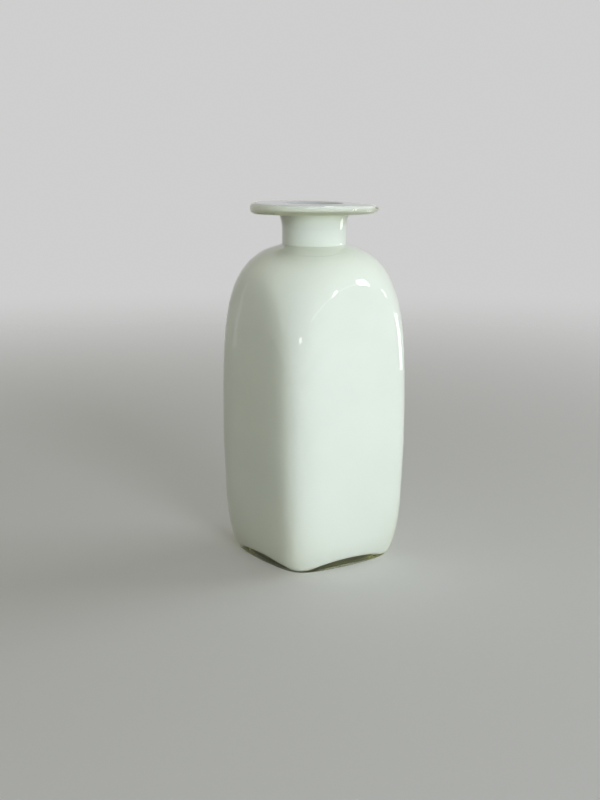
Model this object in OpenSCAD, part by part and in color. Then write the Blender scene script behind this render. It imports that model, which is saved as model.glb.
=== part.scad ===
// Square glass bottle with a round waisted neck and a wide flat lip.
// Two fused layers of glass make the bottle: a white opal bubble on the inside
// and a clear casing over it, which is thick under the floor. A clear ring laid
// around the flared mouth makes the lip.
// Millimetres. Z is up, the table is z = 0, and the flat sides face X and Y.

/* [Body] */
// Width across two opposite flat sides, at the widest height
body_w = 83; // [78:1:90]
// Height of the root of the neck above the table
body_h = 176.6; // [165:0.1:190]
// Height where the flat sides are widest and the shoulder starts to close
widest_z = 66.6; // [50:0.2:90]
// How much each flat side leans in between the widest height and the table
draft = 3.8; // [1:0.1:6]
// Radius of the round bubble that limits the corners and forms the shoulder
bubble_r = 53.4; // [50:0.1:60]

/* [Section and shoulder curves] */
// Squareness of the section: 2 is round, higher numbers sharpen the corners
squareness = 10; // [6:0.1:12]
// Fullness of the shoulder: 2 is a half ellipse, higher numbers are squarer
shoulder_fullness = 3.4; // [2.4:0.1:4]
// Crispness of the arches where the flat sides run into the shoulder
arch_crispness = 22; // [16:1:48]
// Tightness of the hollow curve between shoulder and neck
root_tightness = 6; // [5:1:28]

/* [Foot] */
// Height over which the sides tuck in towards the table
foot_h = 36; // [28:1:46]
// Squareness of the section at the table
foot_squareness = 6.4; // [4:0.1:10]
// How far the middle of each flat side tucks in at the table
foot_side_tuck = 2.2; // [1:0.1:5]
// How far each corner tucks in at the table
foot_corner_tuck = 5.5; // [3:0.1:10]
// Fullness of the tuck: 1 is a bevel, 2 is a quarter ellipse
foot_fullness = 2; // [1.6:0.1:2.4]
// Diameter of the shallow hollow under the base
dish_d = 60; // [40:1:64]
// Depth of the hollow under the base
dish_depth = 3; // [0.5:0.1:3.4]

/* [Glass thickness] */
// Clear casing on the sides, shoulder and neck
casing_t = 1.8; // [1.2:0.1:2.6]
// White opal layer on the sides, shoulder and neck
opal_t = 1.8; // [1.2:0.1:2.6]
// Clear glass under the opal floor
base_t = 4.6; // [3:0.2:12]
// Opal floor
floor_t = 2.4; // [1.4:0.1:4]

/* [Neck and mouth] */
// Straight bore of the neck
bore_d = 28.4; // [24:0.1:31]
// Height of the neck, from its root to the underside of the lip
neck_h = 18.1; // [13:0.1:26]
// Height over which the neck flares out under the lip
flare_h = 10; // [5:0.5:11]
// How far the neck flares out on each side under the lip
flare_out = 2.2; // [0.5:0.1:3]
// Radius of the rounded inner edge of the mouth
mouth_round = 3.4; // [1:0.1:3.6]

/* [Lip] */
// Outer diameter of the lip
lip_d = 72; // [64:0.5:80]
// Thickness of the lip
lip_t = 5.3; // [4.4:0.1:7]
// Clear glass outside the opal at the rim of the lip
rim_w = 2; // [1.6:0.1:4]
// Opal layer over the top of the lip
lip_opal_t = 3.2; // [1.6:0.1:3.4]
// Radius of the curve from the opal neck out to the opal top of the lip
lip_curl = 1.8; // [0.8:0.1:2.2]

/* [Hidden] */

// Mesh of the blown body: points around, levels upward, crowding at the corners.
around = 48;
levels = 36;
crowding = 0.7;
// Round parts.
$fn = 96;
arc_steps = 8;
// Share of the neck radius at which a blown skin gives way to the true round neck.
hand_over = 0.9;
// Step that keeps the round neck just inside the last ring of a blown skin.
ledge = 0.14;
// Overlap that buries one part of a solid in the next.
bury = 3;
// How far a cutting shape runs past the face it cuts.
past = 1;

wall = casing_t + opal_t;
lip_z = body_h + neck_h;
total_h = lip_z + lip_t;

// Radius of the neck at a depth below the outer surface.
function neck_r(depth) = bore_d / 2 + wall - depth;

// Height of the closed shoulder above the widest height, if it had no neck.
dome_h = (body_h - widest_z)
    / pow(1 - pow(neck_r(0) / bubble_r, shoulder_fullness), 1 / shoulder_fullness);

function soft_min(a, b, k) =
    let (m = min(a, b)) m * pow(pow(m / a, k) + pow(m / b, k), -1 / k);

function soft_max(a, b, k) =
    let (m = max(a, b)) m * pow(pow(a / m, k) + pow(b / m, k), 1 / k);

// Half width between flat sides.
function flat_half(z, depth) =
    body_w / 2 - depth - draft * max(0, 1 - z / widest_z);

// How far down the foot a height is: 0 above the foot, 1 at its lowest level.
function foot_share(z, bottom) = max(0, 1 - (z - bottom) / foot_h);

// Squareness of the section at a share of the foot.
function squareness_at(q) = squareness + (foot_squareness - squareness) * q * q;

// Reach of a rounded square of half width a, in the direction turn.
function square_reach(a, turn, power) =
    a / pow(pow(abs(cos(turn)), power) + pow(abs(sin(turn)), power), 1 / power);

// 0 at the middle of a flat side, 1 at a corner.
function cornerness(turn, power) =
    (square_reach(1, turn, power) - 1) / (square_reach(1, 45, power) - 1);

// How far the skin tucks in at a share of the foot.
function tuck(q, turn) =
    (foot_side_tuck
     + (foot_corner_tuck - foot_side_tuck) * cornerness(turn, squareness_at(q)))
    * (1 - pow(1 - pow(q, foot_fullness), 1 / foot_fullness));

// Radius of the round bubble: a cylinder up to the widest height, a dome above.
function bubble(z, depth) =
    let (q = max(0, z - widest_z) / (dome_h - depth))
    (bubble_r - depth)
    * pow(max(0.000001, 1 - pow(q, shoulder_fullness)), 1 / shoulder_fullness);

// Height where a blown skin has narrowed to the round neck.
function hand_over_z(depth) =
    widest_z + (dome_h - depth)
    * pow(1 - pow(hand_over * neck_r(depth) / (bubble_r - depth),
                  shoulder_fullness), 1 / shoulder_fullness);

// Reach of a blown skin: the square body, held in by the bubble, run into the neck.
function skin(z, turn, depth, bottom) =
    let (q = foot_share(z, bottom))
    soft_max(
        soft_min(square_reach(flat_half(z, depth), turn, squareness_at(q))
                 - tuck(q, turn),
                 bubble(z, depth), arch_crispness),
        neck_r(depth), root_tightness);

// Directions of the points around, drawn closer together at the corners.
function point_turn(i) =
    let (c = cos(360 * i / around), s = sin(360 * i / around))
    atan2(sign(s) * pow(abs(s), crowding), sign(c) * pow(abs(c), crowding));

// Levels lie closer together near the foot and near the neck.
function level_z(k, bottom, top) =
    bottom + (top - bottom) * (1 - cos(180 * k / levels)) / 2;

// Points on a quarter circle or other arc in the plane of a turned section.
function arc(r, z, radius, from, to) =
    [for (k = [0 : arc_steps])
        let (a = from + (to - from) * k / arc_steps)
        [r + radius * cos(a), z + radius * sin(a)]];

// Closed solid inside a blown skin.
module blown(depth, bottom) {
    top = hand_over_z(depth);
    points = [for (k = [0 : levels], i = [0 : around - 1])
        let (z = level_z(k, bottom, top), turn = point_turn(i),
             reach = skin(z, turn, depth, bottom))
        [reach * cos(turn), reach * sin(turn), z]];
    sides = [for (k = [0 : levels - 1], i = [0 : around - 1])
        let (a = k * around + i, b = k * around + (i + 1) % around,
             c = b + around, d = a + around)
        each [[a, d, b], [b, d, c]]];
    under = [for (i = [0 : around - 1]) i];
    over = [for (i = [around - 1 : -1 : 0]) levels * around + i];
    polyhedron(points, concat([under, over], sides));
}

// Where a round neck rises out of a blown skin, its section eases in.
function root_outline(depth) =
    let (z = hand_over_z(depth), r = neck_r(depth),
         start = skin(z, 0, depth, 0) - ledge)
    concat([[0, z - bury], [start, z - bury]],
           [for (k = [0 : arc_steps])
               let (u = k / arc_steps)
               [r + (start - r) * pow(1 - u, 2), z + u * bury / 2]]);

// Outside of the clear neck, flaring out to the underside of the lip.
module neck_outside() {
    r = neck_r(0);
    sweep = (flare_h * flare_h + flare_out * flare_out) / (2 * flare_out);
    rotate_extrude()
        polygon(concat(
            root_outline(0),
            [for (k = [0 : arc_steps])
                let (z = flare_h * k / arc_steps)
                [r + sweep - sqrt(sweep * sweep - z * z), lip_z - flare_h + z]],
            [[0, lip_z]]));
}

// Outside of the opal neck and of the opal that covers the top of the lip.
module opal_neck_outside() {
    r = neck_r(casing_t);
    under = total_h - lip_opal_t;
    half = lip_opal_t / 2;
    rotate_extrude()
        polygon(concat(
            root_outline(casing_t),
            arc(r + lip_curl, under - lip_curl, lip_curl, 180, 90),
            arc(lip_d / 2 - rim_w - half, total_h - half, half, -90, 0),
            [[lip_d / 2 - rim_w, total_h], [0, total_h]]));
}

// The whole solid inside the outer surface of the opal.
module opal_outside() {
    blown(casing_t, base_t);
    opal_neck_outside();
}

// The space inside the bottle, up through the mouth.
module inside_space() {
    blown(wall, base_t + floor_t);
    translate([0, 0, hand_over_z(wall) - bury])
        cylinder(r = neck_r(wall), h = total_h + past - hand_over_z(wall) + bury);
    rotate_extrude()
        polygon(concat(
            [[0, total_h - mouth_round]],
            arc(bore_d / 2 + mouth_round, total_h - mouth_round, mouth_round, 180, 90),
            [[bore_d / 2 + mouth_round, total_h + past], [0, total_h + past]]));
}

// Shallow round hollow that leaves a flat ring to stand on.
module base_dish() {
    rotate_extrude()
        polygon(concat(
            [[0, -past], [dish_d / 2, -past]],
            [for (k = [0 : arc_steps])
                let (r = dish_d / 2 * (1 - k / arc_steps))
                [r, dish_depth * (1 - pow(2 * r / dish_d, 2))]]));
}

// Clear layer over the opal: sides, shoulder, neck and the thick base.
module clear_casing() {
    color([0.80, 0.87, 0.78, 0.35])
        difference() {
            union() {
                blown(0, 0);
                neck_outside();
            }
            opal_outside();
            base_dish();
        }
}

// White layer: one bubble from the floor to the mouth, turned out over the lip.
module opal_liner() {
    color([0.93, 0.95, 0.92])
        difference() {
            opal_outside();
            inside_space();
        }
}

// Clear ring laid around the mouth, under and outside the turned-out opal.
module lip_ring() {
    round_r = lip_t / 2;
    color([0.78, 0.84, 0.70, 0.5])
        difference() {
            rotate_extrude()
                polygon(concat(
                    [[0, lip_z]],
                    arc(lip_d / 2 - round_r, lip_z + round_r, round_r, -90, 90),
                    [[0, total_h]]));
            opal_neck_outside();
        }
}

clear_casing();
opal_liner();
lip_ring();
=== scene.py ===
"""Square cased-glass bottle with a round waisted neck and a wide flat lip.

Three pieces of glass: a white opal liner, a clear casing over it that is thick
under the floor, and a clear ring laid around the turned-out mouth. The script
also makes the stage: a pale floor, soft lamps and the camera.
Lengths are metres, Z is up and the bottle stands on z = 0.
"""

import math
from collections import namedtuple

import bpy
from bpy.props import (
    FloatProperty,
    FloatVectorProperty,
    IntProperty,
    PointerProperty,
)
from bpy.types import Operator, Panel, PropertyGroup
from mathutils import Matrix, Vector


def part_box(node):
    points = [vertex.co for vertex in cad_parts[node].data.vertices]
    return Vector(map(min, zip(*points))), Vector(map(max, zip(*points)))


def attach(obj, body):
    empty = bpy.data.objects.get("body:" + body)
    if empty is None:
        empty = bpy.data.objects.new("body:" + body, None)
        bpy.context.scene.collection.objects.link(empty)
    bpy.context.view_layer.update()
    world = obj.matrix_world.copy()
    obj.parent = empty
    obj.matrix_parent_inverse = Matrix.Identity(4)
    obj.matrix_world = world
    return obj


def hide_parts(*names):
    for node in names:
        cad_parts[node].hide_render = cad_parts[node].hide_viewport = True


bl_info = {
    "name": "Square Cased-Glass Bottle",
    "version": (1, 0, 0),
    "blender": (4, 5, 0),
    "location": "3D Viewport > Sidebar > Bottle",
    "description": "Builds a square two-layer glass bottle and a plain stage",
    "category": "Object",
}

MM = 0.001

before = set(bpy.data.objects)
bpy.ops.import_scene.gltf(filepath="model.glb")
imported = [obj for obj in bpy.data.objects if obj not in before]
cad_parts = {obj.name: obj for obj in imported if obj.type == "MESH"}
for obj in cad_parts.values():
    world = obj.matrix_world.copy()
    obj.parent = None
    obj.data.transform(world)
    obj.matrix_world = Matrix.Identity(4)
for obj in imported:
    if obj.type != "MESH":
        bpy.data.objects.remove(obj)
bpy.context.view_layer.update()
CASING_LOW, CASING_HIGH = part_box("clear_casing")
LINER_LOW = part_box("opal_liner")[0]
LIP_LOW, LIP_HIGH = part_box("lip_ring")


# ---------------------------------------------------------------- properties


def length(name, description, default):
    """A length in metres, as a property that a user can change."""
    return FloatProperty(
        name=name, description=description, default=default,
        min=0.0, precision=5, subtype="DISTANCE", unit="LENGTH",
    )


def number(name, description, default, low=0.0, high=1000.0):
    """A plain number, as a property that a user can change."""
    return FloatProperty(
        name=name, description=description, default=default, min=low, max=high
    )


def colour(name, description, default):
    """A colour, as a property that a user can change."""
    return FloatVectorProperty(
        name=name, description=description, default=default,
        size=3, min=0.0, max=1.0, subtype="COLOR",
    )


def power(name, description, default):
    """The power of a lamp, as a property that a user can change."""
    return FloatProperty(
        name=name, description=description, default=default, min=0.0, unit="POWER"
    )


class BottleSizes(PropertyGroup):
    """Sizes of the glass."""

    body_width: length(
        "Body width", "Across two opposite flat sides", CASING_HIGH.x - CASING_LOW.x
    )
    root_height: length("Neck root", "Height of the root of the neck", 176.6 * MM)
    widest_height: length("Widest height", "Where the sides are widest", 66.6 * MM)
    draft: length("Draft", "Lean of each side towards the table", 3.8 * MM)
    bubble_radius: length("Bubble", "Round bubble that limits the corners", 53.4 * MM)
    squareness: number("Squareness", "2 is round, more is squarer", 10.0, 2.0, 16.0)
    shoulder_fullness: number("Shoulder", "2 is a half ellipse", 3.4, 2.0, 5.0)
    arch_crispness: number("Arches", "How crisp the arches are", 22.0, 8.0, 80.0)
    root_tightness: number("Root", "Tightness of the neck root", 6.0, 5.0, 28.0)
    foot_height: length("Foot height", "Over which the foot tucks in", 36 * MM)
    foot_squareness: number("Foot squareness", "At the table", 6.4, 2.0, 16.0)
    foot_side_tuck: length("Side tuck", "Tuck of a side at the table", 2.2 * MM)
    foot_corner_tuck: length("Corner tuck", "Tuck of a corner there", 5.5 * MM)
    foot_fullness: number("Foot", "2 is a quarter ellipse", 2.0, 1.0, 4.0)
    dish_radius: length("Dish", "Radius of the hollow under the base", 30 * MM)
    dish_depth: length("Dish depth", "Depth of that hollow", 3.0 * MM)
    casing_wall: length("Casing wall", "Clear glass over the opal", 1.8 * MM)
    opal_wall: length("Opal wall", "White layer", 1.8 * MM)
    base_wall: length("Base", "Clear glass under the opal floor", LINER_LOW.z)
    corner_sag: length("Corner sag", "How far the opal sinks in the corners", 3.0 * MM)
    opal_floor: length("Opal floor", "White layer of the floor", 2.4 * MM)
    bore_radius: length("Bore", "Radius of the neck's bore", 14.2 * MM)
    flare_height: length("Flare height", "Over which the neck flares", 10 * MM)
    flare_out: length("Flare", "How far the neck flares out", 2.2 * MM)
    mouth_round: length("Mouth edge", "Radius of the mouth's edge", 3.4 * MM)
    lip_radius: length("Lip", "Radius of the lip", LIP_HIGH.x)
    lip_under: length("Lip underside", "Height of the lip's underside", LIP_LOW.z)
    lip_top: length("Lip top", "Height of the top of the lip", LIP_HIGH.z)
    rim_width: length("Rim", "Clear glass beyond the opal at the rim", 2.0 * MM)
    lip_opal: length("Lip opal", "Opal layer on top of the lip", 3.2 * MM)
    lip_curl: length("Lip curl", "Curve from opal neck to opal lip", 1.8 * MM)
    lip_dip: length("Lip dip", "How far one side of the lip dips", 1.7 * MM)
    lip_droop: length("Lip droop", "How far the thick side hangs", 0.8 * MM)
    ripple: length("Ripple", "Depth of the hand-blown waves", 0.16 * MM)
    tool_mark: length("Tool marks", "Depth of the rings around the foot", 0.16 * MM)
    around: IntProperty(
        name="Points around", description="Points around each ring",
        default=96, min=16, max=256,
    )


class GlassFinish(PropertyGroup):
    """Colours and surfaces of the glass."""

    opal_colour: colour("Opal", "Colour of the white glass", (0.81, 0.85, 0.87))
    translucency: number("Translucency", "How much light opal scatters", 0.4, 0, 1)
    scatter: length("Scatter", "How far light spreads in the opal", 1.0 * MM)
    deep_scatter: length("Floor scatter", "The same, under the floor", 4.0 * MM)
    tint: colour("Tint", "What the clear glass lets through", (0.92, 0.91, 0.22))
    tint_density: number("Tint density", "Absorption per metre", 28.0)
    lip_density: number("Lip density", "The same, in the lip ring", 45.0)
    index: number("Index", "Refractive index of the glass", 1.5, 1.0, 2.0)
    gloss: number("Roughness", "Roughness of fire-polished glass", 0.02, 0.0, 1.0)


class StageSetup(PropertyGroup):
    """Floor, light and camera."""

    floor_colour: colour("Floor", "Colour of the floor", (0.86, 0.86, 0.85))
    backdrop: number("Backdrop", "Brightness behind the bottle", 0.62)
    ambient: number("Ambient", "Light from all around", 0.28)
    front_power: power("Front lamp", "Soft lamp in front", 8.8)
    side_power: power("Side lamp", "Soft lamp high on the right", 4.8)
    glint: number("Glints", "Brightness of the small lamps seen in the glass", 9.0)


# ------------------------------------------------------------------ geometry

# One ring of a shell: how far out and how high it lies in a direction, and how
# closely its points crowd together at the corners (1 is evenly spread).
Ring = namedtuple("Ring", "reach height crowding")

CORNER_CROWDING = 0.75
# Levels along each blown skin, and more where tool marks run around the foot.
CASING_LEVELS, OPAL_LEVELS, INSIDE_LEVELS, MARK_LEVELS = 64, 52, 40, 24
# How far above a blown skin its round neck takes over, in opal and in clear glass.
OPAL_STEP, CLEAR_STEP = 1.0 * MM, 0.5 * MM
# How far the straight rings of a neck keep from the curve at its end.
MOUTH_STEP, CURL_STEP = 1.0 * MM, 3.0 * MM
# A clear piece's hidden wall runs inside the opal, this share of its thickness.
BURIED_SHARE = 0.4
# Hairline that keeps two clear pieces from sharing a face.
HAIRLINE = 0.03 * MM
# How far a ring keeps from a corner, to hold the corner crisp.
EDGE_STEP = 0.2 * MM
# How far the lip ring's hidden face lies inside the edge of the opal disc.
DISC_STEP = 0.25 * MM


def soft_min(a, b, power):
    low = min(a, b)
    return low * ((low / a) ** power + (low / b) ** power) ** (-1.0 / power)


def soft_max(a, b, power):
    high = max(a, b)
    return high * ((a / high) ** power + (b / high) ** power) ** (1.0 / power)


def square_reach(half, turn, power):
    """Reach of a rounded square in the direction turn."""
    c, s = abs(math.cos(turn)), abs(math.sin(turn))
    return half / (c**power + s**power) ** (1.0 / power)


def neck_radius(s, depth):
    return s.bore_radius + s.opal_wall + s.casing_wall - depth


def dome_height(s):
    """Height of the closed shoulder above the widest height, had it no neck."""
    share = neck_radius(s, 0.0) / s.bubble_radius
    fullness = s.shoulder_fullness
    return (s.root_height - s.widest_height) / (1 - share**fullness) ** (1 / fullness)


def ripple(s, turn, z):
    """Slow waves that a blown surface has, always inwards."""
    wave = (
        math.sin(3 * turn + 41 * z + 0.6)
        + math.sin(2 * turn - 67 * z + 2.1)
        + 0.7 * math.sin(5 * turn + 93 * z + 4.0)
    )
    return s.ripple * (wave / 2.7 - 1.0) / 2.0


# The rings that a tool left in the soft foot: how far apart, and up to where.
MARK_PITCH, MARK_TOP = 2.9 * MM, 10 * MM


def tool_marks(s, turn, z):
    """Uneven rings around the foot, always inwards."""
    if z >= MARK_TOP:
        return 0.0
    wander = 0.9 * math.sin(2 * turn + 0.7) + 0.6 * math.sin(5 * turn + 2.0)
    ring = math.cos(2 * math.pi * z / MARK_PITCH + wander) - 1.0
    return 0.5 * s.tool_mark * ring * (1 - z / MARK_TOP)


def skin(s, z, turn, depth, bottom):
    """Reach of a blown skin at a depth below the outer surface."""
    lean = s.draft * max(0.0, 1 - z / s.widest_height)
    half = s.body_width / 2 - depth - lean
    q = min(1.0, max(0.0, 1 - (z - bottom) / s.foot_height))
    power = s.squareness + (s.foot_squareness - s.squareness) * q**2
    unit = square_reach(1.0, turn, power)
    corner = cornerness(turn, power)
    tuck = s.foot_side_tuck + (s.foot_corner_tuck - s.foot_side_tuck) * corner
    tuck *= 1 - (1 - q**s.foot_fullness) ** (1 / s.foot_fullness)
    q = max(0.0, z - s.widest_height) / (dome_height(s) - depth)
    left = max(1e-6, 1 - min(1.0, q) ** s.shoulder_fullness)
    bubble = (s.bubble_radius - depth) * left ** (1 / s.shoulder_fullness)
    body = soft_min(half * unit - tuck, bubble, s.arch_crispness)
    return soft_max(body, neck_radius(s, depth), s.root_tightness)


def closing_height(s, depth):
    """Height where the dome of a skin would close."""
    return s.widest_height + dome_height(s) - depth


def eased(low, high, count, ease_low=True, ease_high=True):
    """Numbers from low to high, closer together at the eased ends."""
    for k in range(count + 1):
        t = k / count
        if ease_low and ease_high:
            t = (1 - math.cos(math.pi * t)) / 2
        elif ease_low:
            t = 1 - math.cos(math.pi / 2 * t)
        elif ease_high:
            t = math.sin(math.pi / 2 * t)
        yield low + (high - low) * t


def round_ring(radius, height):
    """A round, level ring."""
    return Ring(lambda turn: radius, lambda turn: height, 1.0)


def skin_rings(s, depth, bottom, levels, rippled=False):
    """Rings of a blown skin from its lowest level to the closing height."""
    top = closing_height(s, depth)
    rings = []
    heights = list(eased(bottom, top, levels))
    if rippled:
        heights = [z for z in heights if z > MARK_TOP]
        heights = [*eased(bottom, MARK_TOP, MARK_LEVELS, ease_high=False), *heights]
    for z in heights:
        share = min(1.0, max(0.0, (z - s.widest_height) / (top - s.widest_height)))
        crowding = CORNER_CROWDING + (1 - CORNER_CROWDING) * share**2
        rings.append(
            Ring(
                lambda turn, z=z: skin(s, z, turn, depth, bottom)
                + (ripple(s, turn, z) + tool_marks(s, turn, z) if rippled else 0.0),
                lambda turn, z=z: z,
                crowding,
            )
        )
    return rings


FLOOR_SHARES = (0.15, 0.35, 0.55, 0.75, 0.9, 0.98)


def inset_rings(ring, shares, height):
    """Rings that shrink an outline towards a middle at the given height."""
    return [
        Ring(
            lambda turn, share=share: ring.reach(turn) * share,
            lambda turn, share=share: height + (ring.height(turn) - height) * share**3,
            ring.crowding,
        )
        for share in shares
    ]


def cornerness(turn, power):
    """0 in the middle of a flat side, 1 in a corner."""
    unit = square_reach(1.0, turn, power)
    return (unit - 1) / (square_reach(1.0, math.pi / 4, power) - 1)


def sagged(s, rings, bottom):
    """Sinks the lowest rings in the corners, where hot glass ran down."""

    def sunk(ring):
        def height(turn):
            z = ring.height(turn)
            low = max(0.0, 1 - (z - bottom) / s.foot_height)
            return z - s.corner_sag * cornerness(turn, s.foot_squareness) * low**3

        return Ring(ring.reach, height, ring.crowding)

    return [sunk(ring) for ring in rings]


def arc_rings(radius, height, arc, start, stop, steps):
    """Round rings along an arc, with angles in degrees."""
    rings = []
    for k in range(steps + 1):
        a = math.radians(start + (stop - start) * k / steps)
        rings.append(
            round_ring(radius + arc * math.cos(a), height + arc * math.sin(a))
        )
    return rings


def nearness(turn, centre, spread):
    """1 where turn is centre, falling to nothing away from it. Degrees."""
    off = (math.degrees(turn) - centre + 180) % 360 - 180
    return math.exp(-((off / spread) ** 2))


# The lip was laid on by hand: one side dips and the opposite side is thicker.
DIP_AT, DIP_SPREAD = 338.0, 50.0
DROOP_AT, DROOP_SPREAD = 150.0, 45.0
RIM_PULL = 0.35 * MM


def hand_laid(s, rings, inner):
    """Lets rings of the lip dip on one side and hang on the other."""

    def lowered(ring):
        def height(turn):
            z = ring.height(turn)
            out = ring.reach(turn)
            outness = min(1.0, max(0.0, (out - inner) / (s.lip_radius - inner)))
            up = min(1.0, max(0.0, (z - s.lip_under) / (s.lip_top - s.lip_under)))
            dip = s.lip_dip * nearness(turn, DIP_AT, DIP_SPREAD) * up
            droop = s.lip_droop * nearness(turn, DROOP_AT, DROOP_SPREAD) * (1 - up)
            return z - outness * (dip + droop)

        def reach(turn):
            out = ring.reach(turn)
            outness = min(1.0, max(0.0, (out - inner) / (s.lip_radius - inner)))
            return out - RIM_PULL * outness**2 * (0.5 - 0.5 * math.cos(3 * turn + 1))

        return Ring(reach, height, ring.crowding)

    return [lowered(ring) for ring in rings]


def crowded(angle, crowding):
    """Moves a direction towards the nearest corner."""
    c, s = math.cos(angle), math.sin(angle)
    return math.atan2(
        math.copysign(abs(s) ** crowding, s), math.copysign(abs(c) ** crowding, c)
    )


def deselect_all():
    for obj in bpy.context.selected_objects:
        obj.select_set(False)


def shell(name, rings, around, looped=False):
    """A closed shell. A circle is extruded once for each further ring, its ends
    are closed by poles or bridged, and each ring is laid on its outline."""
    deselect_all()
    bpy.ops.mesh.primitive_circle_add(
        vertices=around, radius=1.0, fill_type="NOTHING" if looped else "TRIFAN"
    )
    obj = bpy.context.object
    obj.name = obj.data.name = name
    bpy.ops.object.mode_set(mode="EDIT")
    bpy.ops.mesh.select_mode(type="EDGE")
    bpy.ops.mesh.select_all(action="DESELECT")
    bpy.ops.mesh.select_non_manifold()
    for _ in rings[1:]:
        bpy.ops.mesh.extrude_edges_move(TRANSFORM_OT_translate={"value": (0, 0, 1)})
    if looped:
        bpy.ops.mesh.select_non_manifold()
        bpy.ops.mesh.bridge_edge_loops()
    else:
        bpy.ops.mesh.edge_face_add()
        bpy.ops.mesh.poke()
    bpy.ops.object.mode_set(mode="OBJECT")
    for vertex in obj.data.vertices:
        x, y, level = vertex.co
        ring = rings[round(level)]
        angle = math.atan2(y, x)
        turn = crowded(angle, ring.crowding)
        pole = math.hypot(x, y) < 0.5
        out = 0.0 if pole else ring.reach(turn)
        vertex.co = (out * math.cos(turn), out * math.sin(turn), ring.height(turn))
    bpy.ops.object.mode_set(mode="EDIT")
    bpy.ops.mesh.select_all(action="SELECT")
    bpy.ops.mesh.normals_make_consistent(inside=False)
    bpy.ops.object.mode_set(mode="OBJECT")
    # That can still turn a looped shell inside out as a whole.
    if sum(face.center.dot(face.normal) * face.area for face in obj.data.polygons) < 0:
        obj.data.flip_normals()
    modifier = obj.modifiers.new("Smooth", "SUBSURF")
    modifier.levels = modifier.render_levels = 1
    bpy.ops.object.modifier_apply(modifier=modifier.name)
    bpy.ops.object.shade_smooth()
    return obj


# ----------------------------------------------------------------- materials

# Scales of the textures, per metre: slow waves in the clear surface, scratches
# where the bottle stands, and clouds in the opal.
WAVES, SCRATCHES, CLOUDS = 38.0, 900.0, 22.0
WAVE_STRENGTH, WAVE_DEPTH = 0.25, 0.6 * MM
# Heights between which the scuffed glass at the table turns clear.
SCUFFED_BELOW, CLEAR_ABOVE = 0.2 * MM, 0.6 * MM
SCUFF_COLOUR = (0.8, 0.82, 0.78, 1)
# What the casing lets through on the way to the opal.
LAMP_THROUGH = (0.96, 0.975, 0.95, 1)
# How bright the clouds in the opal are beside the rest of it.
CLOUD_SHADE = 0.97
# Roughness of opal that lies bare and of opal under the casing.
BARE_ROUGHNESS, CASED_ROUGHNESS = 0.08, 0.5


def new_material(name):
    """An empty node material with its output: (material, nodes, links, output)."""
    material = bpy.data.materials.new(name)
    material.use_nodes = True
    nodes, links = material.node_tree.nodes, material.node_tree.links
    nodes.clear()
    return material, nodes, links, nodes.new("ShaderNodeOutputMaterial")


def noise(nodes, links, coordinates, scale, detail=2.0):
    """A noise texture on the piece's own coordinates."""
    texture = nodes.new("ShaderNodeTexNoise")
    texture.inputs["Scale"].default_value = scale
    texture.inputs["Detail"].default_value = detail
    links.new(coordinates, texture.inputs["Vector"])
    return texture.outputs["Fac"]


def ranged(nodes, links, value, low, high, start=0.3, stop=0.7):
    """Maps a noise value to a range."""
    node = nodes.new("ShaderNodeMapRange")
    node.inputs["From Min"].default_value = start
    node.inputs["From Max"].default_value = stop
    node.inputs["To Min"].default_value = low
    node.inputs["To Max"].default_value = high
    links.new(value, node.inputs["Value"])
    return node.outputs["Result"]


def bumped(nodes, links, height, strength, distance):
    """A bump from a height."""
    node = nodes.new("ShaderNodeBump")
    node.inputs["Strength"].default_value = strength
    node.inputs["Distance"].default_value = distance
    links.new(height, node.inputs["Height"])
    return node.outputs["Normal"]


def clear_glass(name, finish, density):
    """Clear glass, olive where it is thick. Lamps shine through it."""
    material, nodes, links, output = new_material(name)
    place = nodes.new("ShaderNodeTexCoord").outputs["Object"]
    glass = nodes.new("ShaderNodeBsdfPrincipled")
    glass.inputs["Base Color"].default_value = (1, 1, 1, 1)
    glass.inputs["Transmission Weight"].default_value = 1.0
    glass.inputs["IOR"].default_value = finish.index
    glass.inputs["Roughness"].default_value = finish.gloss
    waves = noise(nodes, links, place, WAVES, 1.0)
    waves = bumped(nodes, links, waves, WAVE_STRENGTH, WAVE_DEPTH)
    links.new(waves, glass.inputs["Normal"])
    # The ring that it stands on is scuffed: fine scratches that scatter light.
    height = nodes.new("ShaderNodeSeparateXYZ")
    links.new(place, height.inputs[0])
    low = ranged(
        nodes, links, height.outputs["Z"], 1.0, 0.0, SCUFFED_BELOW, CLEAR_ABOVE
    )
    marks = ranged(nodes, links, noise(nodes, links, place, SCRATCHES, 4.0), 0.2, 0.8)
    worn = nodes.new("ShaderNodeMath")
    worn.operation = "MULTIPLY"
    links.new(low, worn.inputs[0])
    links.new(marks, worn.inputs[1])
    scuffs = nodes.new("ShaderNodeBsdfDiffuse")
    scuffs.inputs["Color"].default_value = SCUFF_COLOUR
    scuffed = nodes.new("ShaderNodeMixShader")
    links.new(worn.outputs[0], scuffed.inputs[0])
    links.new(glass.outputs[0], scuffed.inputs[1])
    links.new(scuffs.outputs[0], scuffed.inputs[2])
    through = nodes.new("ShaderNodeBsdfTransparent")
    through.inputs["Color"].default_value = LAMP_THROUGH
    mix = nodes.new("ShaderNodeMixShader")
    links.new(nodes.new("ShaderNodeLightPath").outputs["Is Shadow Ray"], mix.inputs[0])
    links.new(scuffed.outputs[0], mix.inputs[1])
    links.new(through.outputs[0], mix.inputs[2])
    links.new(mix.outputs[0], output.inputs["Surface"])
    absorb = nodes.new("ShaderNodeVolumeAbsorption")
    absorb.inputs["Color"].default_value = (*finish.tint, 1)
    absorb.inputs["Density"].default_value = density
    links.new(absorb.outputs[0], output.inputs["Volume"])
    return material


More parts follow.
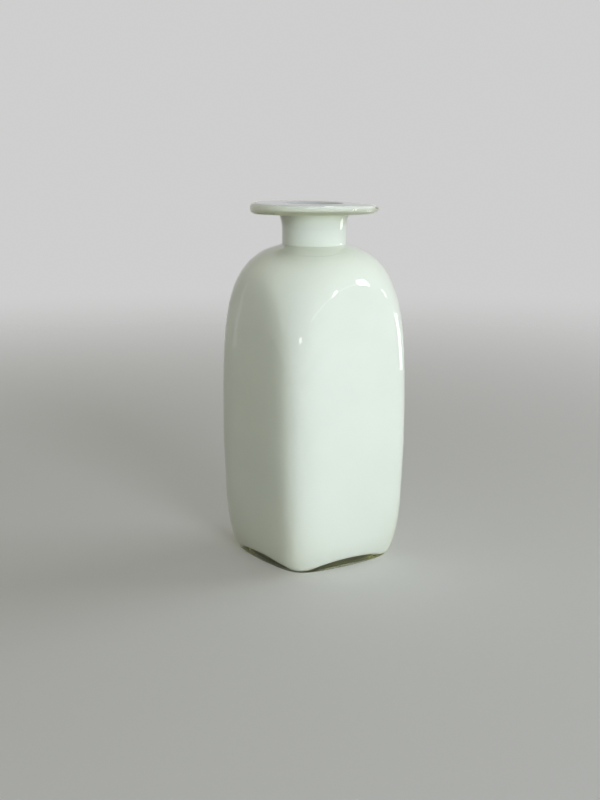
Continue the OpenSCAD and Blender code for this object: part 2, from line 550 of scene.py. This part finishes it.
def opal_glass(name, finish, bare=False, deep=False):
    """White opal glass. Where it is bare it shines; under clear glass it can't.
    Where it is deep, light runs further inside it."""
    material, nodes, links, output = new_material(name)
    place = nodes.new("ShaderNodeTexCoord").outputs["Object"]
    opal = nodes.new("ShaderNodeBsdfPrincipled")
    cloud = ranged(nodes, links, noise(nodes, links, place, CLOUDS, 3.0), 0.0, 1.0)
    blend = nodes.new("ShaderNodeMix")
    blend.data_type = "RGBA"
    links.new(cloud, blend.inputs["Factor"])
    blend.inputs["A"].default_value = (*finish.opal_colour, 1)
    blend.inputs["B"].default_value = (*[CLOUD_SHADE * c for c in finish.opal_colour], 1)
    links.new(blend.outputs["Result"], opal.inputs["Base Color"])
    opal.inputs["Roughness"].default_value = BARE_ROUGHNESS if bare else CASED_ROUGHNESS
    opal.inputs["IOR"].default_value = finish.index
    opal.inputs["Specular IOR Level"].default_value = 0.5 if bare else 0.0
    opal.inputs["Subsurface Weight"].default_value = (
        1.0 if deep else finish.translucency
    )
    opal.inputs["Subsurface Radius"].default_value = (1.0, 1.0, 1.0)
    opal.inputs["Subsurface Scale"].default_value = (
        finish.deep_scatter if deep else finish.scatter
    )
    links.new(opal.outputs[0], output.inputs["Surface"])
    return material


# ----------------------------------------------------------------- operators


class BOTTLE_OT_opal_liner(Operator):
    """Blow the white opal liner and turn it out over the lip"""

    bl_idname = "bottle.opal_liner"
    bl_label = "Opal liner"

    def execute(self, context):
        s, finish = context.scene.bottle_sizes, context.scene.glass_finish
        depth, wall = s.casing_wall, s.casing_wall + s.opal_wall
        neck, half = neck_radius(s, depth), s.lip_opal / 2
        lip_edge = s.lip_radius - s.rim_width
        curl_under = s.lip_top - s.lip_opal
        outside = skin_rings(s, depth, s.base_wall, OPAL_LEVELS)
        outside = sagged(s, outside, s.base_wall)
        inside = skin_rings(s, wall, s.base_wall + s.opal_floor, INSIDE_LEVELS)
        neck_low = closing_height(s, depth) + OPAL_STEP
        bore_low = closing_height(s, wall) + OPAL_STEP
        bore_top = s.lip_top - s.mouth_round
        lip = (
            arc_rings(neck + s.lip_curl, curl_under - s.lip_curl, s.lip_curl, 180, 90, 6)
            + [round_ring(r, curl_under) for r in (0.6 * lip_edge, 0.8 * lip_edge)]
            + arc_rings(lip_edge - half, s.lip_top - half, half, -90, 90, 8)
            + [round_ring(r, s.lip_top) for r in (0.85 * lip_edge, 0.65 * lip_edge)]
            + arc_rings(s.bore_radius + s.mouth_round, bore_top, s.mouth_round, 90, 180, 6)
        )
        rings = (
            inset_rings(outside[0], FLOOR_SHARES, s.base_wall)
            + outside
            + [round_ring(neck, z) for z in eased(neck_low, curl_under - CURL_STEP, 4)]
            + hand_laid(s, lip, neck)
            + [
                round_ring(s.bore_radius, z)
                for z in eased(bore_top - MOUTH_STEP, bore_low, 5)
            ]
            + inside[::-1]
            + inset_rings(inside[0], FLOOR_SHARES[::-1], inside[0].height(0))
        )
        liner = shell("opal_liner_glass", rings, s.around)
        liner.data.materials.append(opal_glass("opal_glass_cased", finish))
        liner.data.materials.append(opal_glass("opal_glass_bare", finish, bare=True))
        liner.data.materials.append(opal_glass("opal_glass_deep", finish, deep=True))
        for face in liner.data.polygons:
            x, y, z = face.center
            out = math.hypot(x, y)
            on_lip = z > curl_under + half - s.lip_dip and face.normal.z > 0.2
            in_bore = face.normal.dot(Vector((x, y, 0))) < 0 and out < s.body_width
            floor = face.normal.z > 0.2 and z < s.base_wall + 2 * s.opal_floor
            under = face.normal.z < -0.5 and z < s.base_wall + s.opal_floor
            face.material_index = 2 if under else int(on_lip or in_bore or floor)
        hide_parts("opal_liner")
        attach(liner, "root")
        return {"FINISHED"}


class BOTTLE_OT_clear_casing(Operator):
    """Gather the clear casing over the liner, thick under the floor"""

    bl_idname = "bottle.clear_casing"
    bl_label = "Clear casing"

    def execute(self, context):
        s, finish = context.scene.bottle_sizes, context.scene.glass_finish
        buried = s.casing_wall + BURIED_SHARE * s.opal_wall
        floor = s.base_wall + BURIED_SHARE * s.opal_floor
        top = s.lip_under - HAIRLINE
        outside = skin_rings(s, 0.0, 0.0, CASING_LEVELS, rippled=True)
        inside = skin_rings(s, buried, floor, INSIDE_LEVELS)
        neck, flare_low = neck_radius(s, 0.0), s.lip_under - s.flare_height
        sweep = (s.flare_height**2 + s.flare_out**2) / (2 * s.flare_out)

        def flared(z):
            up = max(0.0, z - flare_low)
            return neck + sweep - math.sqrt(sweep**2 - up**2)

        dish = [
            round_ring(r, s.dish_depth * (1 - (r / s.dish_radius) ** 2))
            for r in eased(0.15 * s.dish_radius, s.dish_radius, 6, ease_low=False)
        ]
        stand = [
            Ring(
                lambda turn, share=share: s.dish_radius
                + (outside[0].reach(turn) - s.dish_radius) * share,
                lambda turn: 0.0,
                1 + (CORNER_CROWDING - 1) * share,
            )
            for share in (0.04, 0.5, 0.9, 0.985)
        ]
        neck_rings = [
            round_ring(flared(z), z)
            for z in eased(closing_height(s, 0.0) + CLEAR_STEP, top, 14, ease_low=False)
        ]
        rings = (
            dish
            + stand
            + outside
            + neck_rings
            + [round_ring(flared(top) - EDGE_STEP, top)]
            + [round_ring(neck_radius(s, buried) + EDGE_STEP, top)]
            + [
                round_ring(neck_radius(s, buried), z)
                for z in eased(top, closing_height(s, buried) + CLEAR_STEP, 4)
            ]
            + inside[::-1]
            + inset_rings(inside[0], FLOOR_SHARES[::-1], floor)
        )
        casing = shell("clear_casing_glass", rings, s.around)
        casing.data.materials.append(
            clear_glass("clear_glass_casing", finish, finish.tint_density)
        )
        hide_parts("clear_casing")
        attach(casing, "root")
        return {"FINISHED"}


class BOTTLE_OT_lip_ring(Operator):
    """Lay the clear ring around the mouth"""

    bl_idname = "bottle.lip_ring"
    bl_label = "Lip ring"

    def execute(self, context):
        s, finish = context.scene.bottle_sizes, context.scene.glass_finish
        hidden = BURIED_SHARE * s.opal_wall
        neck = neck_radius(s, s.casing_wall) - hidden
        curl_under = s.lip_top - s.lip_opal + BURIED_SHARE * s.lip_opal
        opal_edge = s.lip_radius - s.rim_width
        rim, half = (s.lip_top - s.lip_under) / 2, s.lip_opal / 2
        rings = (
            [round_ring(r, s.lip_under) for r in eased(neck, s.lip_radius - rim, 8)]
            + arc_rings(s.lip_radius - rim, s.lip_under + rim, rim, -80, 80, 12)
            + arc_rings(
                opal_edge - half, s.lip_top - half, half - DISC_STEP, 72, -8, 5
            )
            + [round_ring(r, curl_under) for r in (0.8 * opal_edge, 0.65 * opal_edge)]
            + [
                round_ring(neck + s.lip_curl, curl_under),
                round_ring(neck + 0.3 * s.lip_curl, curl_under - 0.3 * s.lip_curl),
                round_ring(neck, curl_under - s.lip_curl),
            ]
        )
        lip = shell("lip_ring_glass", hand_laid(s, rings, neck), s.around, looped=True)
        lip.data.materials.append(
            clear_glass("clear_glass_lip", finish, finish.lip_density)
        )
        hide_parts("lip_ring")
        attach(lip, "root")
        return {"FINISHED"}


# --------------------------------------------------------------------- stage

# The camera's place and aim: how far it stands from the bottle's axis, how high,
# and round which side, and how it is turned. Focal length for a 36 mm sensor.
CAMERA_DISTANCE = 684.9 * MM
CAMERA_HEIGHT = 233.0 * MM
CAMERA_AZIMUTH = -35.5
CAMERA_YAW = 0.62
CAMERA_PITCH = 11.9
CAMERA_ROLL = 0.235
CAMERA_LENS = 55.24

# What the lamps aim at, and how far off the two soft lamps stand.
AIM_HEIGHT = 0.1
LAMP_DISTANCE = 1.6
FLOOR_SIZE = 8.0
# The floor fades into the backdrop between these distances.
FADE_START, FADE_STOP = 0.25, 1.3
# Daylight is a little cooler than the light that the room throws back.
COOL, WARM = (0.87, 0.935, 1.0), (1.0, 0.98, 0.87)
# Small lamps that the glass mirrors as glints: azimuth, distance, the heights
# that each reaches from and to, its width, and its share of the brightness.
GLINTS = (
    (42, 1.1, 0.33, 0.58, 0.19, 1.6),
    (16, 1.1, 0.35, 0.49, 0.09, 1.6),
    (-46, 1.1, 0.18, 0.24, 0.13, 1.4),
    (76, 0.35, 0.06, 0.14, 0.09, 0.5),
    (63, 1.1, 0.24, 0.34, 0.08, 0.8),
    (12, 1.2, 0.38, 0.44, 1.70, 0.12),
    (-148, 0.6, 0.03, 0.20, 0.02, 0.05),
)


def placed(azimuth, elevation, distance, height=AIM_HEIGHT):
    """A place round the bottle. Azimuth 0 is in front, 90 on the right."""
    a, e = math.radians(azimuth), math.radians(elevation)
    return Vector(
        (
            distance * math.sin(a) * math.cos(e),
            -distance * math.cos(a) * math.cos(e),
            height + distance * math.sin(e),
        )
    )


def area_lamp(name, azimuth, elevation, distance, size, watts, tone=(1, 1, 1)):
    """A rectangular lamp aimed at the middle of the bottle."""
    deselect_all()
    place = placed(azimuth, elevation, distance)
    aim = (Vector((0, 0, AIM_HEIGHT)) - place).to_track_quat("-Z", "Y").to_euler()
    bpy.ops.object.light_add(type="AREA", location=place, rotation=aim)
    lamp = bpy.context.object
    lamp.name = lamp.data.name = name
    lamp.data.shape = "RECTANGLE"
    lamp.data.size, lamp.data.size_y = size
    lamp.data.energy = watts
    lamp.data.color = tone
    lamp.visible_camera = False
    return lamp


class BOTTLE_OT_stage(Operator):
    """Make the floor, the backdrop, the lamps and the camera"""

    bl_idname = "bottle.stage"
    bl_label = "Stage"

    def execute(self, context):
        setup = context.scene.stage_setup
        self.make_floor(setup)
        self.make_world(context.scene, setup)
        for name, azimuth, elevation, side, watts in (
            ("front_lamp", -8, 10, 0.5, setup.front_power),
            ("side_lamp", 76, 34, 0.9, setup.side_power),
        ):
            size = (side, side)
            lamp = area_lamp(name, azimuth, elevation, LAMP_DISTANCE, size, watts, COOL)
            lamp.visible_glossy = False
        for azimuth, distance, low, high, width, share in GLINTS:
            size = (width, high - low)
            watts = setup.glint * share * math.pi * size[0] * size[1]
            lamp = area_lamp("glint", azimuth, 0, distance, size, watts)
            lamp.location.z = (low + high) / 2
            lamp.visible_diffuse = lamp.visible_transmission = False
        self.make_camera(context.scene)
        context.scene.view_settings.view_transform = "Standard"
        return {"FINISHED"}

    def make_floor(self, setup):
        deselect_all()
        bpy.ops.mesh.primitive_plane_add(size=FLOOR_SIZE)
        floor = bpy.context.object
        floor.name = "floor"
        material, nodes, links, output = new_material("pale_floor")
        place = nodes.new("ShaderNodeTexCoord").outputs["Object"]
        distance = nodes.new("ShaderNodeVectorMath")
        distance.operation = "LENGTH"
        links.new(place, distance.inputs[0])
        fade = ranged(
            nodes, links, distance.outputs["Value"], 0.0, 1.0, FADE_START, FADE_STOP
        )
        fade.node.interpolation_type = "SMOOTHSTEP"
        paint = nodes.new("ShaderNodeBsdfPrincipled")
        paint.inputs["Base Color"].default_value = (*setup.floor_colour, 1)
        paint.inputs["Roughness"].default_value = 0.7
        paint.inputs["Specular IOR Level"].default_value = 0.2
        mix = nodes.new("ShaderNodeMixShader")
        links.new(fade, mix.inputs[0])
        links.new(paint.outputs[0], mix.inputs[1])
        links.new(nodes.new("ShaderNodeBsdfTransparent").outputs[0], mix.inputs[2])
        links.new(mix.outputs[0], output.inputs["Surface"])
        floor.data.materials.append(material)

    def make_world(self, scene, setup):
        world = bpy.data.worlds.new("pale_backdrop")
        scene.world = world
        world.use_nodes = True
        nodes, links = world.node_tree.nodes, world.node_tree.links
        nodes.clear()
        path = nodes.new("ShaderNodeLightPath")
        seen = path.outputs["Is Camera Ray"]
        for kind in ("Is Glossy Ray", "Is Transmission Ray"):
            either = nodes.new("ShaderNodeMath")
            either.operation = "MAXIMUM"
            links.new(seen, either.inputs[0])
            links.new(path.outputs[kind], either.inputs[1])
            seen = either.outputs[0]
        light, pale = (nodes.new("ShaderNodeBackground") for _ in range(2))
        light.inputs["Strength"].default_value = setup.ambient
        pale.inputs["Strength"].default_value = setup.backdrop
        mix = nodes.new("ShaderNodeMixShader")
        links.new(seen, mix.inputs[0])
        light.inputs["Color"].default_value = (*WARM, 1)
        # Light that reaches the opal through its casing is warm as well.
        tone = nodes.new("ShaderNodeMix")
        tone.data_type = "RGBA"
        tone.inputs["A"].default_value = (1, 1, 1, 1)
        tone.inputs["B"].default_value = (*WARM, 1)
        links.new(path.outputs["Diffuse Depth"], tone.inputs["Factor"])
        links.new(tone.outputs["Result"], pale.inputs["Color"])
        for k, background in enumerate((light, pale)):
            links.new(background.outputs[0], mix.inputs[k + 1])
        output = nodes.new("ShaderNodeOutputWorld")
        links.new(mix.outputs[0], output.inputs["Surface"])

    def make_camera(self, scene):
        deselect_all()
        place = placed(CAMERA_AZIMUTH, 0, CAMERA_DISTANCE, CAMERA_HEIGHT)
        turn = math.radians(CAMERA_AZIMUTH + CAMERA_YAW)
        aim = (
            Matrix.Rotation(turn, 4, "Z")
            @ Matrix.Rotation(math.radians(90 - CAMERA_PITCH), 4, "X")
            @ Matrix.Rotation(math.radians(CAMERA_ROLL), 4, "Z")
        ).to_euler()
        bpy.ops.object.camera_add(location=place, rotation=aim)
        camera = bpy.context.object
        camera.data.lens = CAMERA_LENS
        camera.data.clip_start = 0.01
        scene.camera = camera


# --------------------------------------------------------------------- panel


class BOTTLE_PT_panel(Panel):
    """Lists the sizes and the steps"""

    bl_idname = "BOTTLE_PT_panel"
    bl_label = "Square bottle"
    bl_space_type = "VIEW_3D"
    bl_region_type = "UI"
    bl_category = "Bottle"

    def draw(self, context):
        scene = context.scene
        for group in (scene.bottle_sizes, scene.glass_finish, scene.stage_setup):
            column = self.layout.column(align=True)
            for name in group.__annotations__:
                column.prop(group, name)
        for step in STEPS:
            self.layout.operator(step.bl_idname)


GROUPS = {
    "bottle_sizes": BottleSizes,
    "glass_finish": GlassFinish,
    "stage_setup": StageSetup,
}
STEPS = (
    BOTTLE_OT_opal_liner,
    BOTTLE_OT_clear_casing,
    BOTTLE_OT_lip_ring,
    BOTTLE_OT_stage,
)


def register():
    for cls in (*GROUPS.values(), *STEPS, BOTTLE_PT_panel):
        bpy.utils.register_class(cls)
    for name, cls in GROUPS.items():
        setattr(bpy.types.Scene, name, PointerProperty(type=cls))


def unregister():
    for name in GROUPS:
        delattr(bpy.types.Scene, name)
    for cls in (BOTTLE_PT_panel, *reversed(STEPS), *GROUPS.values()):
        bpy.utils.unregister_class(cls)


def main():
    register()
    bpy.ops.bottle.opal_liner()
    bpy.ops.bottle.clear_casing()
    bpy.ops.bottle.lip_ring()
    bpy.ops.bottle.stage()


if __name__ == "__main__":
    main()
